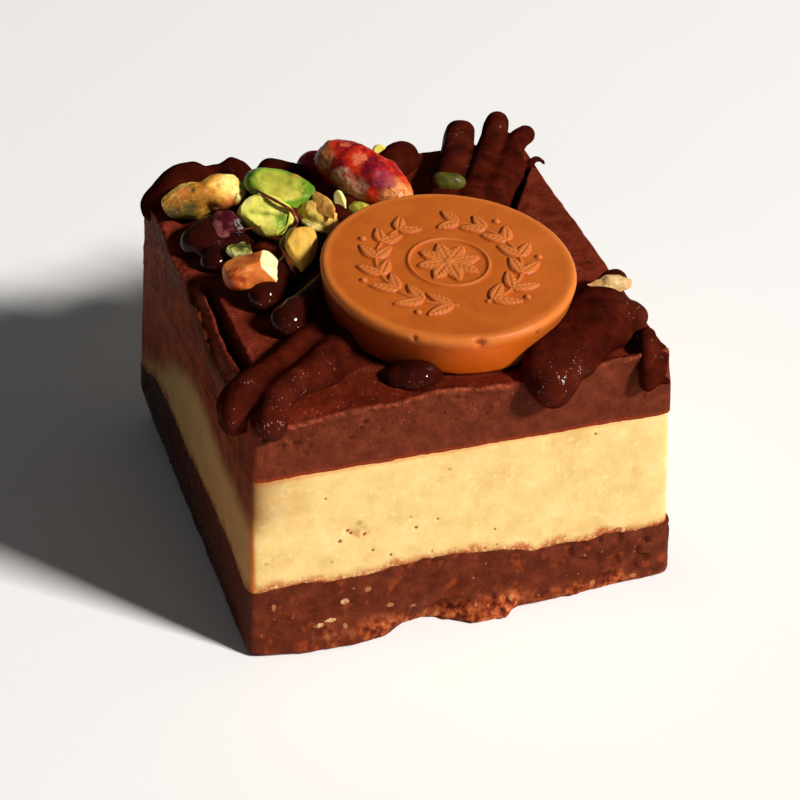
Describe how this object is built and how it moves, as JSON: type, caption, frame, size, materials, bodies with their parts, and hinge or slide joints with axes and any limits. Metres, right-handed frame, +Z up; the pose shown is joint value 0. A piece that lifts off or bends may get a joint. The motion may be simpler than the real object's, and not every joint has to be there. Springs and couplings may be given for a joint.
{
  "type": "pistachio chocolate layer cake slice",
  "caption": "Square slice of layer cake: dark crumb base, pale cream, piped chocolate top with a caramel coin and pistachio kernels.",
  "frame": {"origin": "middle of the flat underside", "axes": "+Z up, +X to the right along the front cut face, +Y from the front cut face to the back"},
  "size_m": [0.0663, 0.0685, 0.0493],
  "materials": {
    "base_layer": "crumbly",
    "cream_layer": "satin",
    "chocolate_layer": "semi-gloss",
    "caramel_coin": "satin",
    "pistachio_red": "satin",
    "pistachio_green": "satin",
    "pistachio_tan": "satin",
    "pistachio_chunk": "satin"
  },
  "bodies": {
    "root": {"base_layer": "base_layer", "cream_layer": "cream_layer", "chocolate_layer": "chocolate_layer", "caramel_coin": "caramel_coin", "pistachio_red": "pistachio_red", "pistachio_green": "pistachio_green", "pistachio_split": "pistachio_green", "pistachio_brown": "pistachio_tan", "pistachio_tan": "pistachio_tan", "pistachio_chunk": "pistachio_chunk", "pistachio_wedge": "pistachio_tan"}
  },
  "joints": []
}
